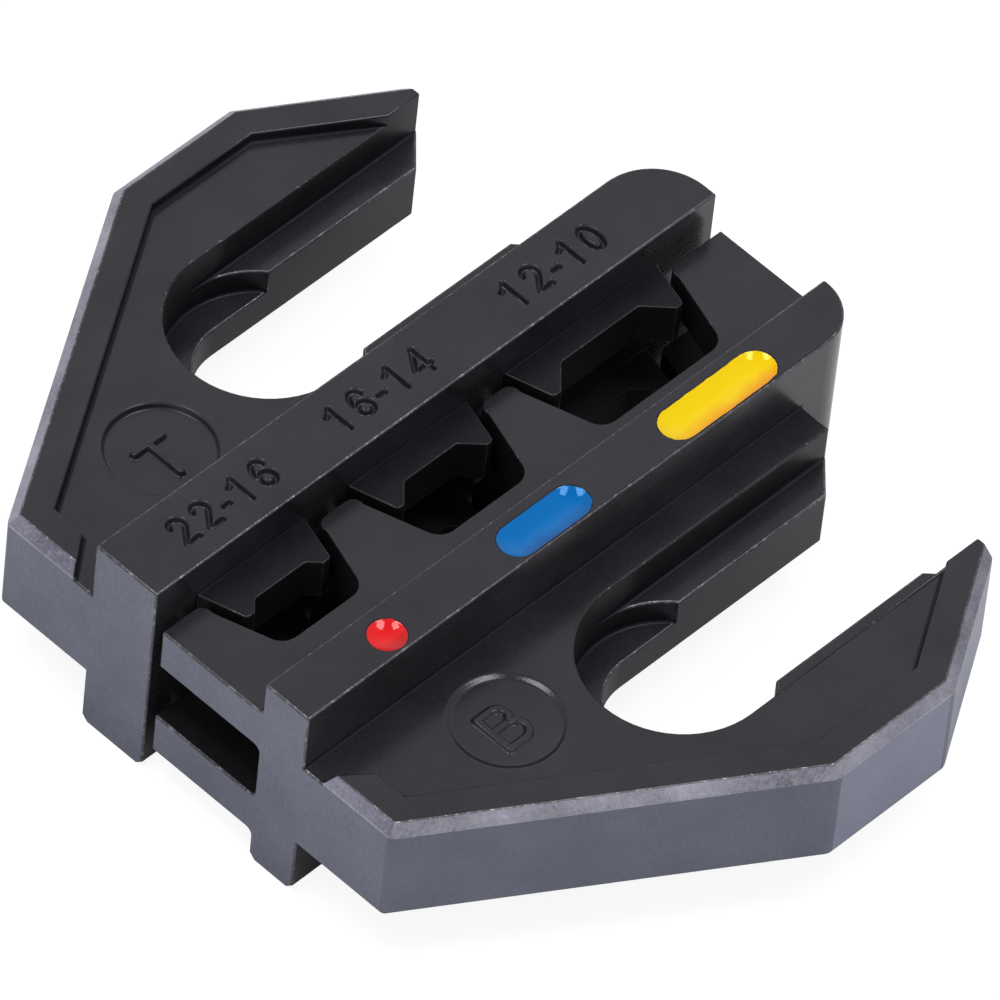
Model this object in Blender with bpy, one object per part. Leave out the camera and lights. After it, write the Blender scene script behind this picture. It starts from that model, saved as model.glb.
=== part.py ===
"""Crimping die set for insulated cable terminals: two mating steel dies and their colour marks.

The top die carries three teeth that close into the three nests of the bottom die. Each die has a
thick bar along the nests and a wing with a stepped, open slot, by which it slides onto the headed
pin of a crimping tool. X runs along the bars, Y is the closing direction and Z is up.
"""
import math

import bmesh
import bpy
from mathutils import Matrix, Vector

# Bars, in metres
BAR_LENGTH = 0.0406
DIE_HEIGHT = 0.01375
TOP_BAR_WIDTH = 0.0044
RIB_WIDTH = 0.0031
TOP_BAR_END_RADIUS = 0.0036
RIB_END_RADIUS = 0.0029
FOOT_CHAMFER = 0.0004

# Wings: how far each corner reaches out from the bar's outer side, and where it lies along the bar
WING_THICKNESS = 0.00665
WING_RISE = 0.00385
WING_START_REACH = 0.0062
WING_FULL_REACH = 0.0186
WING_TIP_REACH = 0.0137
WING_SLOPE_END = 0.01975
WING_FULL_END = 0.02825
WING_LENGTH = 0.0362
RIM_CHAMFER = 0.00057
RIM_WIDTH = 0.0022
RIM_STEP = 0.00068
RIM_GAP = 0.00125
RIM_LEAN = 0.0017

# Stepped slot of each wing: a neck right through, a wider way for the pin's head and its pocket
SLOT_REACH = 0.00727
SLOT_END = 0.0196
HEAD_WIDTH = 0.01054
NECK_WIDTH = 0.0069
LEDGE_DEPTH = 0.00295
POCKET_DEPTH = 0.00450

# Jaw plates, the same levels on both dies
JAW_DROP = 0.00237
PLATE_THICKNESS = 0.0027
PLATE_GAP = 0.0039
FINGER_LENGTH = 0.0072
FINGER_ROUND = 0.0006
JAW_FILLET = 0.0004

# Nests and teeth, one value for each wire size, from the smallest to the largest
RED_CENTRE = 0.0069
BLUE_CENTRE = 0.0182
YELLOW_CENTRE = 0.03085
RED_FLOOR_WIDTH = 0.0056
BLUE_FLOOR_WIDTH = 0.0063
YELLOW_FLOOR_WIDTH = 0.0087
RED_DEPTH = 0.0047
BLUE_DEPTH = 0.00505
YELLOW_DEPTH = 0.0054
NEST_FLARE = math.radians(16.5)
NEST_ROUND = 0.0011
TOOTH_REACH = 0.0028
TOOTH_CLEARANCE = 0.00035
TOOTH_ROUND = 0.0003
RED_CUP_WIDTH = 0.0036
BLUE_CUP_WIDTH = 0.0038
YELLOW_CUP_WIDTH = 0.0057
RED_CUP_DEPTH = 0.00065
BLUE_CUP_DEPTH = 0.0011
YELLOW_CUP_DEPTH = 0.0014

# Colour marks let into the rib
MARK_INSET = 0.0018
MARK_DEPTH = 0.0006
MARK_SINK = 0.00008
MARK_CLEARANCE = 0.0001
RED_MARK_WIDTH = 0.0020
BAR_MARK_WIDTH = 0.0021
BLUE_MARK_LENGTH = 0.0059
YELLOW_MARK_LENGTH = 0.0078

# How the dies lie
JAW_OPENING = 0.0006

CUT = 0.002                 # how far a cutter runs past the faces that it opens
ARC_STEPS = 28              # facets of a slot's half circle
SMALL_ARC_STEPS = 6

# The set is centred on X = 0 and Y = 0 and stands on Z = 0
DEPTH = (WING_FULL_REACH + TOP_BAR_WIDTH + JAW_OPENING
         + FINGER_LENGTH + RIB_WIDTH + WING_FULL_REACH)
NEAR_END = -BAR_LENGTH / 2
TOP_FACE = DEPTH / 2 - WING_FULL_REACH - TOP_BAR_WIDTH
RIB_FACE = TOP_FACE - JAW_OPENING - FINGER_LENGTH
RIM_TOP = WING_RISE + WING_THICKNESS
WING_FLOOR = RIM_TOP - RIM_STEP
JAW_TOP = DIE_HEIGHT - JAW_DROP
PLATE_LEVELS = (
    (JAW_TOP - PLATE_THICKNESS, JAW_TOP),
    (JAW_TOP - 2 * PLATE_THICKNESS - PLATE_GAP, JAW_TOP - PLATE_THICKNESS - PLATE_GAP),
)
# Centre, floor width, depth, cup width and cup depth of each nest and its tooth
NESTS = (
    (RED_CENTRE, RED_FLOOR_WIDTH, RED_DEPTH, RED_CUP_WIDTH, RED_CUP_DEPTH),
    (BLUE_CENTRE, BLUE_FLOOR_WIDTH, BLUE_DEPTH, BLUE_CUP_WIDTH, BLUE_CUP_DEPTH),
    (YELLOW_CENTRE, YELLOW_FLOOR_WIDTH, YELLOW_DEPTH, YELLOW_CUP_WIDTH, YELLOW_CUP_DEPTH),
)


def clear_scene():
    """Remove what the file holds, so that the set stands alone."""
    for thing in list(bpy.data.objects):
        bpy.data.objects.remove(thing, do_unlink=True)


def steel(name, colour, roughness):
    """A dark, oxide-finished steel."""
    material = bpy.data.materials.new(name)
    material.use_nodes = True
    shader = material.node_tree.nodes["Principled BSDF"]
    shader.inputs["Base Color"].default_value = (*colour, 1.0)
    shader.inputs["Roughness"].default_value = roughness
    shader.inputs["Metallic"].default_value = 0.9
    material.diffuse_color = (*colour, 1.0)
    return material


def enamel(name, colour):
    """A glossy stove enamel."""
    material = bpy.data.materials.new(name)
    material.use_nodes = True
    shader = material.node_tree.nodes["Principled BSDF"]
    shader.inputs["Base Color"].default_value = (*colour, 1.0)
    shader.inputs["Roughness"].default_value = 0.18
    shader.inputs["Metallic"].default_value = 0.0
    material.diffuse_color = (*colour, 1.0)
    return material


def arc(centre, radius, start, end, steps):
    """Points of an arc in the plane, from one angle to the other."""
    points = []
    for step in range(steps + 1):
        angle = start + (end - start) * step / steps
        points.append((centre[0] + radius * math.cos(angle), centre[1] + radius * math.sin(angle)))
    return points


def rounded(corners, steps=SMALL_ARC_STEPS):
    """An outline from (x, y, radius) corners, each rounded by its own radius."""
    points = []
    for index, (x, y, radius) in enumerate(corners):
        corner = Vector((x, y))
        if radius == 0:
            points.append((x, y))
            continue
        before = (Vector(corners[index - 1][:2]) - corner).normalized()
        after = (Vector(corners[(index + 1) % len(corners)][:2]) - corner).normalized()
        half_angle = before.angle(after) / 2
        reach = radius / math.tan(half_angle)
        centre = corner + (before + after).normalized() * (radius / math.sin(half_angle))
        first = corner + before * reach - centre
        last = corner + after * reach - centre
        turn = first.angle_signed(last)
        for step in range(steps + 1):
            spoke = first.copy()
            spoke.rotate(Matrix.Rotation(-turn * step / steps, 2))
            points.append((centre.x + spoke.x, centre.y + spoke.y))
    return points


def prism(name, outline, low, high):
    """A solid with the given plan outline between two heights."""
    mesh = bpy.data.meshes.new(name)
    shape = bmesh.new()
    base = shape.faces.new([shape.verts.new((x, y, low)) for x, y in outline])
    grown = bmesh.ops.extrude_face_region(shape, geom=[base])
    moved = [item for item in grown["geom"] if isinstance(item, bmesh.types.BMVert)]
    bmesh.ops.translate(shape, verts=moved, vec=(0, 0, high - low))
    bmesh.ops.recalc_face_normals(shape, faces=shape.faces)
    shape.to_mesh(mesh)
    shape.free()
    solid = bpy.data.objects.new(name, mesh)
    bpy.context.collection.objects.link(solid)
    return solid


def long_section(name, outline, start, end):
    """A solid with the given (y, z) section, run along X."""
    solid = prism(name, outline, start, end)
    # The plan's x, y and z become the part's y, z and x.
    solid.data.transform(Matrix(((0, 0, 1, 0), (1, 0, 0, 0), (0, 1, 0, 0), (0, 0, 0, 1))))
    return solid


def chamfered_prism(name, outline, inner, low, shoulder, high):
    """A solid that keeps its outline up to the shoulder and narrows to the inner one at the top."""
    mesh = bpy.data.meshes.new(name)
    shape = bmesh.new()
    levels = ((outline, low), (outline, shoulder), (inner, high))
    rings = [[shape.verts.new((x, y, z)) for x, y in points] for points, z in levels]
    shape.faces.new(rings[0])
    shape.faces.new(rings[-1])
    for lower, upper in zip(rings, rings[1:]):
        for index in range(len(lower)):
            following = (index + 1) % len(lower)
            shape.faces.new((lower[index], lower[following], upper[following], upper[index]))
    bmesh.ops.recalc_face_normals(shape, faces=shape.faces)
    shape.to_mesh(mesh)
    shape.free()
    solid = bpy.data.objects.new(name, mesh)
    bpy.context.collection.objects.link(solid)
    return solid


def combine(solid, others, operation):
    """Join to, or cut from, a solid each of the others, and keep the result as its mesh."""
    for other in others:
        step = solid.modifiers.new(operation.lower(), "BOOLEAN")
        step.operation = operation
        step.object = other
    evaluated = solid.evaluated_get(bpy.context.evaluated_depsgraph_get())
    result = bpy.data.meshes.new_from_object(evaluated)
    solid.modifiers.clear()
    solid.data = result
    for other in others:
        bpy.data.objects.remove(other, do_unlink=True)
    return solid


def set_in(outline, distances):
    """Move each side of an outline inward by its own distance and meet the sides again."""
    count = len(outline)
    lines = []
    for index, distance in enumerate(distances):
        start = Vector(outline[index])
        end = Vector(outline[(index + 1) % count])
        along = (end - start).normalized()
        inward = Vector((-along.y, along.x))
        lines.append((start + inward * distance, along))
    points = []
    for index in range(count):
        origin, along = lines[index - 1]
        other, across = lines[index]
        gap = other - origin
        turn = along.x * across.y - along.y * across.x
        reach = (gap.x * across.y - gap.y * across.x) / turn
        points.append(tuple(origin + along * reach))
    return points


def wing_outline(root):
    """Corners of a wing in plan, from the bar's near end round the tip and back."""
    return [
        (0.0, -root),
        (WING_LENGTH, -root),
        (WING_LENGTH, WING_TIP_REACH),
        (WING_FULL_END, WING_FULL_REACH),
        (WING_SLOPE_END, WING_FULL_REACH),
        (0.0, WING_START_REACH),
    ]


def slot_outline(width, end, flare):
    """A slot that ends in a half circle at SLOT_END and runs open past the wing's far end."""
    half = width / 2
    points = arc((SLOT_END, SLOT_REACH), half, math.radians(90), math.radians(270), ARC_STEPS)
    if flare:
        points.append((WING_LENGTH - flare, SLOT_REACH - half))
        points.append((WING_LENGTH + CUT, SLOT_REACH - half - flare - CUT))
        points.append((WING_LENGTH + CUT, SLOT_REACH + half + flare + CUT))
        points.append((WING_LENGTH - flare, SLOT_REACH + half))
    else:
        points.append((end, SLOT_REACH - half))
        points.append((end, SLOT_REACH + half))
    return points


def wing(root):
    """One wing, with the bar's outer side on y = 0 and the wing reaching to +y."""
    outline = wing_outline(root)
    chamfers = (0, 0, RIM_CHAMFER, RIM_CHAMFER, RIM_CHAMFER, RIM_CHAMFER)
    blank = chamfered_prism("wing", outline, set_in(outline, chamfers),
                            WING_RISE, RIM_TOP - RIM_CHAMFER, RIM_TOP)

    inner = set_in(outline, (0, 0, RIM_WIDTH, RIM_WIDTH, RIM_WIDTH, RIM_WIDTH))
    tip, full_end, slope_end, start = inner[2:]
    sides = (full_end[1] - tip[1]) / (full_end[0] - tip[0])
    tip_at_slot = full_end[0] + (SLOT_REACH - full_end[1]) / sides
    recess = [
        (-CUT, -root - CUT),
        (tip_at_slot, -root - CUT),
        (tip_at_slot, SLOT_REACH),
        full_end,
        slope_end,
        start,
        (RIM_WIDTH, RIM_GAP + RIM_LEAN),
        (0.0, RIM_GAP),
        (-CUT, RIM_GAP),
    ]
    flare = (HEAD_WIDTH - NECK_WIDTH) / 2
    head_way = slot_outline(HEAD_WIDTH, WING_LENGTH + CUT, 0)
    pocket = arc((SLOT_END, SLOT_REACH), HEAD_WIDTH / 2,
                 math.radians(90), math.radians(450), 2 * ARC_STEPS)[:-1]
    neck = slot_outline(NECK_WIDTH, WING_LENGTH + CUT, flare)
    cutters = [
        prism("recess", recess, WING_FLOOR, RIM_TOP + CUT),
        prism("head_way", head_way, RIM_TOP - LEDGE_DEPTH, RIM_TOP + CUT),
        prism("pocket", pocket, RIM_TOP - POCKET_DEPTH, RIM_TOP - LEDGE_DEPTH),
        prism("neck", neck, WING_RISE - CUT, RIM_TOP + CUT),
    ]
    return combine(blank, cutters, "DIFFERENCE")


def place_wing(root, side, bar_outer_side):
    """A wing on the given side of its bar: +1 for the top die and -1 for the bottom die."""
    solid = wing(root)
    move = Matrix.Translation((NEAR_END, bar_outer_side, 0)) @ Matrix.Diagonal((1, side, 1, 1))
    solid.data.transform(move)
    if side < 0:
        solid.data.flip_normals()
    return solid


def nest_half_width(floor_width, depth, height):
    """Half the width of a nest at a height above the rib's face."""
    return floor_width / 2 + (height - (FINGER_LENGTH - depth)) * math.tan(NEST_FLARE)


def nest_outline(centre, floor_width, depth):
    """A nest in plan, from the rib's face (y = 0), with its mouth past the finger tips."""
    floor = FINGER_LENGTH - depth
    mouth = nest_half_width(floor_width, depth, FINGER_LENGTH)
    tip = FINGER_ROUND * math.tan((math.radians(90) - NEST_FLARE) / 2)
    over = CUT
    left = centre - mouth
    right = centre + mouth
    # The finger tips are rounded by letting the nest's mouth curl outward over them.
    left_tip = arc((left - tip, FINGER_LENGTH - FINGER_ROUND), FINGER_ROUND,
                   math.radians(90), -NEST_FLARE, SMALL_ARC_STEPS)
    right_tip = arc((right + tip, FINGER_LENGTH - FINGER_ROUND), FINGER_ROUND,
                    math.radians(180) + NEST_FLARE, math.radians(90), SMALL_ARC_STEPS)
    floor_corners = rounded([
        (left_tip[-1][0], left_tip[-1][1], 0),
        (centre - floor_width / 2, floor, NEST_ROUND),
        (centre + floor_width / 2, floor, NEST_ROUND),
        (right_tip[0][0], right_tip[0][1], 0),
    ])
    top = FINGER_LENGTH + over
    return [(left_tip[0][0], top)] + left_tip[:-1] + floor_corners + right_tip[1:] + [(right_tip[-1][0], top)]


def tooth_outline(centre, floor_width, depth, cup_width, cup_depth, root):
    """A tooth in plan, from inside the bar (y = root) to its tip at y = -TOOTH_REACH."""
    at_root = nest_half_width(floor_width, depth, FINGER_LENGTH) - TOOTH_CLEARANCE
    at_tip = nest_half_width(floor_width, depth, FINGER_LENGTH - TOOTH_REACH) - TOOTH_CLEARANCE
    flat = cup_width / 2
    lip = flat + cup_depth
    return rounded([
        (centre - at_root, root, 0),
        (centre - at_root, 0, 0),
        (centre - at_tip, -TOOTH_REACH, TOOTH_ROUND),
        (centre - lip, -TOOTH_REACH, 0),
        (centre - flat, -TOOTH_REACH + cup_depth, TOOTH_ROUND),
        (centre + flat, -TOOTH_REACH + cup_depth, TOOTH_ROUND),
        (centre + lip, -TOOTH_REACH, 0),
        (centre + at_tip, -TOOTH_REACH, TOOTH_ROUND),
        (centre + at_root, 0, 0),
        (centre + at_root, root, 0),
    ], steps=4)


def end_corner(name, end, outer_side, side, radius):
    """The waste outside a bar's rounded far corner."""
    centre = (end - radius, outer_side - side * radius)
    curve = arc(centre, radius, 0, side * math.radians(90), 3 * SMALL_ARC_STEPS)
    outline = [(end + CUT, centre[1])] + curve
    outline += [(centre[0], outer_side + side * CUT), (end + CUT, outer_side + side * CUT)]
    return prism(name, outline, -CUT, DIE_HEIGHT + CUT)


def top_die(material):
    """The die marked T: a plain bar, three teeth in two levels and a wing."""
    outer = TOP_FACE + TOP_BAR_WIDTH
    section = [
        (TOP_FACE + FOOT_CHAMFER, 0.0),
        (outer - FOOT_CHAMFER, 0.0),
        (outer, FOOT_CHAMFER),
        (outer, DIE_HEIGHT),
        (TOP_FACE, DIE_HEIGHT),
        (TOP_FACE, FOOT_CHAMFER),
    ]
    die = long_section("top_die", section, NEAR_END, NEAR_END + BAR_LENGTH)
    combine(die, [end_corner("end", NEAR_END + BAR_LENGTH, outer, 1, TOP_BAR_END_RADIUS)], "DIFFERENCE")
    root = TOP_BAR_WIDTH / 2
    parts = [place_wing(root, 1, outer)]
    for nest in NESTS:
        outline = [(NEAR_END + x, TOP_FACE + y) for x, y in tooth_outline(*nest, root)]
        for low, high in PLATE_LEVELS:
            parts.append(prism("tooth", outline, low, high))
    combine(die, parts, "UNION")
    die.data.materials.clear()
    die.data.materials.append(material)
    return die


def bottom_section():
    """The bottom die's rib with both jaw plates, in (y, z)."""
    tip = RIB_FACE + FINGER_LENGTH
    outer = RIB_FACE - RIB_WIDTH
    (upper_low, upper_high), (lower_low, lower_high) = PLATE_LEVELS
    return rounded([
        (outer, DIE_HEIGHT, 0),
        (outer, FOOT_CHAMFER, 0),
        (outer + FOOT_CHAMFER, 0, 0),
        (RIB_FACE - FOOT_CHAMFER, 0, 0),
        (RIB_FACE, FOOT_CHAMFER, 0),
        (RIB_FACE, lower_low, JAW_FILLET),
        (tip, lower_low, 0),
        (tip, lower_high, 0),
        (RIB_FACE, lower_high, JAW_FILLET),
        (RIB_FACE, upper_low, JAW_FILLET),
        (tip, upper_low, 0),
        (tip, upper_high, 0),
        (RIB_FACE, upper_high, JAW_FILLET),
        (RIB_FACE, DIE_HEIGHT, 0),
    ], steps=3)


def mark_outline(centre, length, width):
    """A round-ended mark in plan, on the rib's middle line for marks."""
    half = width / 2
    straight = (length - width) / 2
    y = RIB_FACE - MARK_INSET
    if straight < 1e-6:
        return arc((centre, y), half, 0, math.radians(360), 4 * SMALL_ARC_STEPS)[:-1]
    right = arc((centre + straight, y), half, math.radians(-90), math.radians(90), 2 * SMALL_ARC_STEPS)
    left = arc((centre - straight, y), half, math.radians(90), math.radians(270), 2 * SMALL_ARC_STEPS)
    return right + left


MARKS = (
    ("red_mark", RED_CENTRE, RED_MARK_WIDTH, RED_MARK_WIDTH, (0.70, 0.01, 0.03)),
    ("blue_mark", BLUE_CENTRE, BLUE_MARK_LENGTH, BAR_MARK_WIDTH, (0.01, 0.12, 0.55)),
    ("yellow_mark", YELLOW_CENTRE, YELLOW_MARK_LENGTH, BAR_MARK_WIDTH, (0.90, 0.62, 0.01)),
)


def bottom_die(material):
    """The die marked B: a rib with two jaw plates, three nests, colour recesses and a wing."""
    die = long_section("bottom_die", bottom_section(), NEAR_END, NEAR_END + BAR_LENGTH)
    outer = RIB_FACE - RIB_WIDTH
    cutters = [end_corner("end", NEAR_END + BAR_LENGTH, outer, -1, RIB_END_RADIUS)]
    for centre, floor_width, depth, _, _ in NESTS:
        outline = nest_outline(centre, floor_width, depth)
        outline = [(NEAR_END + x, RIB_FACE + y) for x, y in outline]
        cutters.append(prism("nest", outline, -CUT, JAW_TOP + CUT / 2))
    combine(die, cutters, "DIFFERENCE")
    combine(die, [place_wing(RIB_WIDTH / 2, -1, outer)], "UNION")
    recesses = []
    for name, centre, length, width, _ in MARKS:
        outline = mark_outline(NEAR_END + centre, length, width)
        recesses.append(prism(name + "_recess", outline, DIE_HEIGHT - MARK_DEPTH, DIE_HEIGHT + CUT))
    combine(die, recesses, "DIFFERENCE")
    die.data.materials.clear()
    die.data.materials.append(material)
    return die


def mark(name, centre, length, width, colour):
    """One enamel fill, a little clear of its recess and sunk a little below the rib's top."""
    outline = mark_outline(NEAR_END + centre, length - 2 * MARK_CLEARANCE, width - 2 * MARK_CLEARANCE)
    low = DIE_HEIGHT - MARK_DEPTH + MARK_CLEARANCE
    fill = prism(name, outline, low, DIE_HEIGHT - MARK_SINK)
    fill.data.materials.append(enamel(name + "_enamel", colour))
    return fill


def main():
    """Build both dies and their marks."""
    clear_scene()
    top = top_die(steel("black_oxide_steel_top", (0.025, 0.025, 0.028), 0.42))
    bottom = bottom_die(steel("black_oxide_steel_bottom", (0.028, 0.028, 0.032), 0.42))
    for row in MARKS:
        fill = mark(*row)
        fill.parent = bottom
    # The top die slides along Y, so its origin lies on its bar, in the middle of the travel's line.
    origin = Vector((0, TOP_FACE + TOP_BAR_WIDTH / 2, DIE_HEIGHT / 2))
    top.data.transform(Matrix.Translation(-origin))
    top.location = origin


main()
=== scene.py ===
"""Dresses the crimping die set: two blackened steel dies, their markings and their enamel colours.

Every size below is in millimetres unless its name or a comment says otherwise. MM turns it into
metres, which is what the frame uses.
"""
import math

import bmesh
import bpy
import numpy as np
from bpy.props import FloatProperty, PointerProperty
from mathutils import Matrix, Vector, kdtree, noise


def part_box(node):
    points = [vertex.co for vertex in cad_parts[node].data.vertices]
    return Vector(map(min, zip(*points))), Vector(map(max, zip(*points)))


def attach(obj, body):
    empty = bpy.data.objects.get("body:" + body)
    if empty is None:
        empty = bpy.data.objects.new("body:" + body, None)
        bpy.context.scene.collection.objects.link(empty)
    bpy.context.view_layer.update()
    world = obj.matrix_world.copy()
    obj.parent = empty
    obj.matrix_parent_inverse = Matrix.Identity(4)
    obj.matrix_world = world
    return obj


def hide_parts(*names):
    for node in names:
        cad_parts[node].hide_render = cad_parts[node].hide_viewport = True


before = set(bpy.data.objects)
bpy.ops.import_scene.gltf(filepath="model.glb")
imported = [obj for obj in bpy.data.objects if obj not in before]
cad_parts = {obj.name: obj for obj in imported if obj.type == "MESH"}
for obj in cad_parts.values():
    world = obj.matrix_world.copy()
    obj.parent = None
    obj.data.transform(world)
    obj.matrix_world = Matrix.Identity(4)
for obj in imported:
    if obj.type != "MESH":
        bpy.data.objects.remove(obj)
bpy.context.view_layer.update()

bl_info = {
    "name": "Crimping Die Set",
    "version": (1, 0, 0),
    "blender": (4, 5, 0),
    "location": "View3D > Sidebar > Die Set",
    "description": "Builds the finished look of a crimping die set around its packed solids",
    "category": "Object",
}

MM = 0.001

# Where things are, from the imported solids
TOP_LOW, TOP_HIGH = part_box("top_die")
NEAR_END = TOP_LOW.x
DIE_TOP = TOP_HIGH.z
SIDE = {"top_die": 1, "bottom_die": -1}

# Levels and faces of the dies
BAR_INNER_Y = 3.25
RIB_INNER_Y = -4.55
WING_FLOOR_Z = 9.82
RIM_TOP_Z = 10.5
PLATE_TOP_Z = 11.38

# Where an edge or a face lies when it belongs to a part of a die
WING_SIDE_Y = 8.5           # past this, away from the nests, it belongs to a wing
WING_MIDDLE_Y = 12.0        # a wing's outer sides look away from this line
WALL_MIN_Y = 3.0            # a long wall of bar or rib lies further out than this
SLOT_EDGE_Z = 7.8           # above this a wing's inner edges are smooth, and below it they are rubbed
JAW_SHADE_DROP = 0.5             # this far below the plates' top, the jaws' edges get the nearly black jaw steel too, which is painted shade
CHAMFER_FOOT_DROP = 0.65    # a chamfer's lower edge is less than this below the rim's top
CHAMFER_DROP = 0.8          # and so is a chamfer's middle less than this
OUTER_SIDE_DROP = 0.4       # an outer side's middle is more than this below the rim's top
END_CLEAR = 1.0             # a wing's inner edges start this far from the near end
EDGE_MARGIN = 0.1           # how near an edge is to a level or an end that it belongs to
FACE_MARGIN = 0.05          # the same for a face
UPRIGHT_HEIGHT = 5.0        # an edge that climbs more than this is an upright corner

# Which way a face looks, as parts of its normal
LEVEL_NORMAL = 0.05         # an upright face rises or falls less than this
END_NORMAL = 0.98           # a near end looks along X more than this
SLOPE_NORMAL = 0.3          # a sloping side looks towards the near end more than this
END_CHAMFER_NORMAL = 0.5    # and a near end's chamfer more than this
WALL_NORMAL = 0.9           # a long wall looks along Y more than this
CHAMFER_RISE = (0.55, 0.85) # a chamfer's normal rises by something between these

# Cleaning of the solid's mesh before its edges are rounded
WELD = 0.0005
FLAT_ANGLE = math.radians(0.6)
SHORTEST_EDGE = 0.055

# Edges of the steel
SHARP_ANGLE = math.radians(38)
STEEP_ANGLE = math.radians(62)
CORNER_ANGLE = math.radians(28)
SMOOTH_ANGLE = math.radians(33)
ROUNDING_STEPS = 3
WIDEST_ROUNDING = 0.26      # on the upright corners of a wing's outline
FILLET = 0.22               # along the feet of the slot's walls
CHAMFER_ROUNDING = 0.055    # on both edges of a cast chamfer, so that they keep clear of each other
NEST_ROUNDING = 0.07        # in the jaws, whose edges are kept crisp
NEST_OUT = 3.3              # nearer the middle than this, below the plates' top, an edge is in the jaws
FINISH_STEP = 0.4           # spacing of the samples that carry a rounding's finish
FLATNESS = 60               # how strongly the flats hold their normals

# The finishes of a die, in the order of its material slots. MARKED holds faces until they are sorted.
(OXIDE, EDGE, END, SIDE_FINISH, PAINTED_LIGHT_SIDE, CHAMFER, END_CHAMFER, WALL, SLOT, JAW, SOFT_EDGE,
 MARKED) = range(12)

# Engraved wire sizes: each glyph's left side and the base line, from the bar's near inner corner
FIGURE_BASE = 1.24
FIGURES = (
    ("2", 3.38), ("2", 5.02), ("-", 6.50), ("1", 7.55), ("6", 9.12),
    ("1", 14.58), ("6", 16.18), ("-", 17.62), ("1", 18.74), ("4", 20.22),
    ("1", 27.30), ("2", 28.90), ("-", 30.38), ("1", 31.48), ("0", 33.00),
)
FIGURE_HALF_STROKE = 0.225
FIGURE_FLOOR_HALF = 0.02
FIGURE_DEPTH = 0.31
FIGURE_ROWS = (1.05, 3.40)  # the stamped strip, from the bar's inner face
FIGURE_STRIPS = ((3.10, 10.60), (14.25, 21.95), (26.95, 34.55))
EASING_ROUNDS = 2

# Uneven stamping: its share of the depth, the size of its patches, and a seed
FIGURE_UNEVEN = (0.18, 0.7, 5.0)
LETTER_UNEVEN = (0.12, 0.8, 9.0)

# Round sinkings with the raised letters of the two dies, from the near end and the bar's inner face
SINKING_RADIUS = 2.98
SINKING_DEPTH = {"top_die": 0.30, "bottom_die": 0.14}
SINKING_PATCH = 3.32
SINKING_CENTRE = {"top_die": (9.50, 9.05), "bottom_die": (9.95, -7.72)}
LETTER = {"top_die": "T", "bottom_die": "B"}
LETTER_ORIGIN = {"top_die": (8.10, 7.15), "bottom_die": (8.62, -9.28)}
LETTER_RELIEF = {"top_die": 0.30, "bottom_die": 0.17}
LETTER_HALF_STROKE = 0.21
LETTER_SLOPE = 0.17
SINKING_WALL = {"top_die": 0.22, "bottom_die": 0.42}
SINKING_LIP = {"top_die": 0.012, "bottom_die": 0.0}
LIP_OFFSET = 0.03
LIP_WIDTH = 0.05
INNER_Y = {"top_die": BAR_INNER_Y, "bottom_die": RIB_INNER_Y}

# Fineness of the stamped surfaces
STAMP_GRID = 0.045
STAMP_RAYS = 256
RING_SPACING = 1.15         # of a sinking's rings, as a share of STAMP_GRID
HUB_RADIUS = 0.02
STAMP_CUT = 0.5             # how far a stamp's outline is cut above and below its level
FAR_AWAY = 10.0             # more than any point's distance to a stroke
NO_LENGTH = 1e-12

# Grain of the steel: size of the clouds, the blasted grain and the bare patches
CLOUD_SIZE = 4.5
GRAIN_SIZE = 0.16
BARE_SIZE = 0.32
GRAIN_BUMP = 0.25
GRAIN_HEIGHT = 0.02
CLOUD_STOPS = (0.32, 0.68)
SMOOTHER = 0.05             # how far the grain's smoothest part is below the roughness
ROUGHER = 0.08              # and its roughest part above it
BARE_START = (0.62, 0.25)   # where bare steel starts, and how much wear takes off that
BARE_FULL = (0.80, 0.20)    # the same for where it is full
BARE_ROUGHNESS = 0.36

# Surface of the enamel
ENAMEL_CLOUD_SIZE = 1.6
ENAMEL_DRIFT = 0.5
ENAMEL_STOPS = (0.28, 0.66)
RIPPLE_SIZE = 0.7
RIPPLE_BUMP = 0.08
RIPPLE_HEIGHT = 0.03
ENAMEL_ROUGHNESS = 0.07

# The floor is a pure white background to the camera by this share, and lit paper by the rest
WHITE_SHARE = 0.78
WHITE_STRENGTH = 1.15
FLOOR_HALF = 1.5            # in metres
FIBRE_SIZE = 6
FIBRE_STOPS = (0.2, 0.8)
PAPER_TONES = (0.77, 0.80)

# Tone of the white tent by height, from the horizon at 0 to overhead at 1
TENT_TONES = ((0.0, 0.62), (0.14, 0.80), (0.36, 1.10), (0.75, 0.98), (0.86, 0.94), (1.0, 0.45))

# The tent has a darker opening on this side, which the slopes and edges on that side mirror
DARK_SIDE = (0.95, -0.20, -0.25)
DARK_START = 0.45
DARK_REACH = 0.6
DARK_TONE = 0.30

# Lamps, in metres: share of the power, size, and place to the picture's right, away from the
# camera along the floor, and up
PICTURE_RIGHT = Vector((0.7071, -0.7071, 0.0))
PICTURE_AWAY = Vector((0.7071, 0.7071, 0.0))
UP = Vector((0.0, 0.0, 1.0))
LAMP_TARGET = (0, 0, 0.01)
LAMPS = {
    "softbox_left": (1.0, (0.20, 0.14), (-0.17, -0.03, 0.47)),
    "softbox_right": (1.0, (0.20, 0.14), (0.17, -0.03, 0.47)),
    "softbox_back": (0.08, (0.40, 0.22), (0.0, 0.38, 0.34)),
}

# The photograph's camera, from a fit to the dies' edges. The turn is in radians.
CAMERA_PLACE = (-444.393, -371.480, 688.874)
CAMERA_TURN = (0.7018892, -0.0739245, -0.7894491)

# Enamel fills: centre along the bar, full length and full width
MARK_LINE_Y = -6.35
MARKS = {
    "red_mark": (6.90, 2.00, 2.00),
    "blue_mark": (18.20, 5.90, 2.10),
    "yellow_mark": (30.85, 7.80, 2.10),
}
MARK_REACH = 1.2            # a sharp edge this near the marks' middle line is a recess's edge
MARKS_END = 16.0            # and no recess lies further along X than this

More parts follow.
